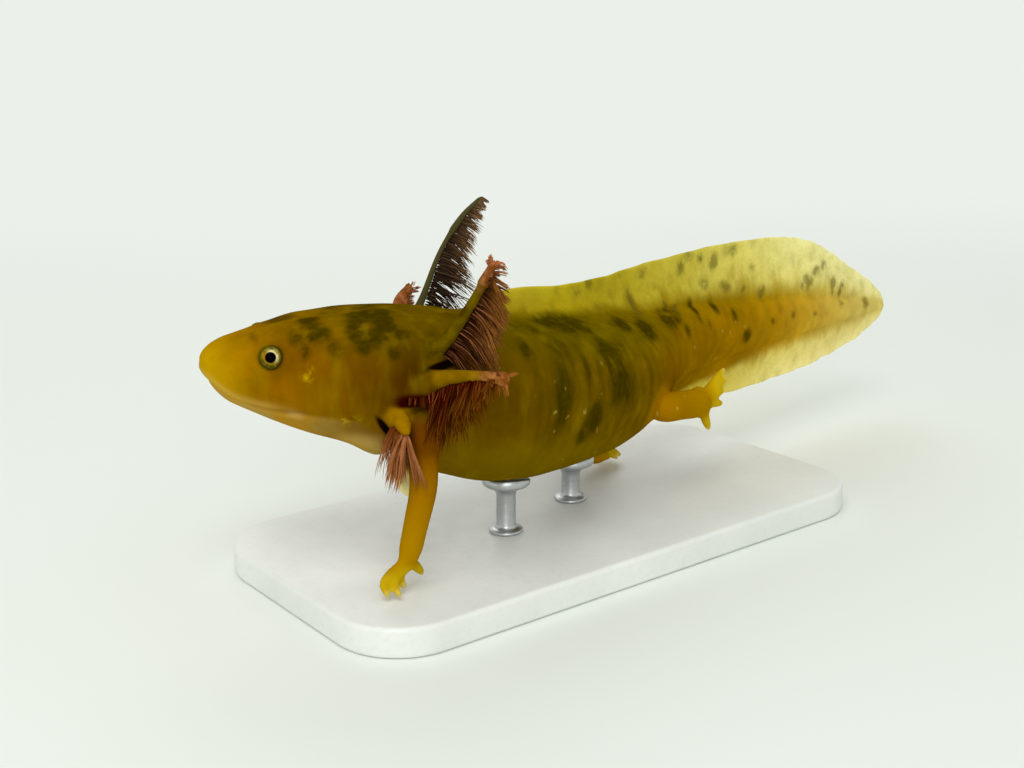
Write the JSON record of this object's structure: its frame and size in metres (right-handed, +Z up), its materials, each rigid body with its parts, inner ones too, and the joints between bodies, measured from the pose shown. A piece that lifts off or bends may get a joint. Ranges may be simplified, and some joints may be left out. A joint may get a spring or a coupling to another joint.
{
  "type": "axolotl model",
  "caption": "Life-size still model of an adult golden axolotl with dark blotches, feathery gills and tall tail fins, carried low over a flat display base.",
  "frame": {"origin": "centre of the underside of the stand's base plate", "axes": "+Z up, +X along the trunk towards the tail, -Y towards the animal's left side"},
  "size_m": [0.2141, 0.0655, 0.0738],
  "materials": {
    "skin": "moist smooth amphibian skin, mustard gold with olive and dark brown blotches",
    "gill": "soft dark red filaments on brown stalks",
    "eye": "glossy eye with a thin pale gold ring",
    "stand_plate": "satin white acrylic plate",
    "stand_metal": "satin steel rod with a small cup"
  },
  "bodies": {
    "root": {"head": "skin", "lower_jaw": "skin", "eye_left": "eye", "eye_right": "eye", "neck": "skin", "trunk": "skin", "tail_base": "skin", "tail_middle": "skin", "tail_tip": "skin", "fin_back": "skin", "fin_tail_upper": "skin", "fin_tail_lower": "skin", "front_leg_left_upper": "skin", "front_leg_left_lower": "skin", "hand_left": "skin", "front_leg_right_upper": "skin", "front_leg_right_lower": "skin", "hand_right": "skin", "hind_leg_left_upper": "skin", "hind_leg_left_lower": "skin", "foot_left": "skin", "hind_leg_right_upper": "skin", "hind_leg_right_lower": "skin", "foot_right": "skin", "gill_left_1": "gill", "gill_left_2": "gill", "gill_left_3": "gill", "gill_right_1": "gill", "gill_right_2": "gill", "gill_right_3": "gill", "stand_base": "stand_plate", "stand_rod_front": "stand_metal", "stand_rod_rear": "stand_metal"}
  },
  "joints": []
}
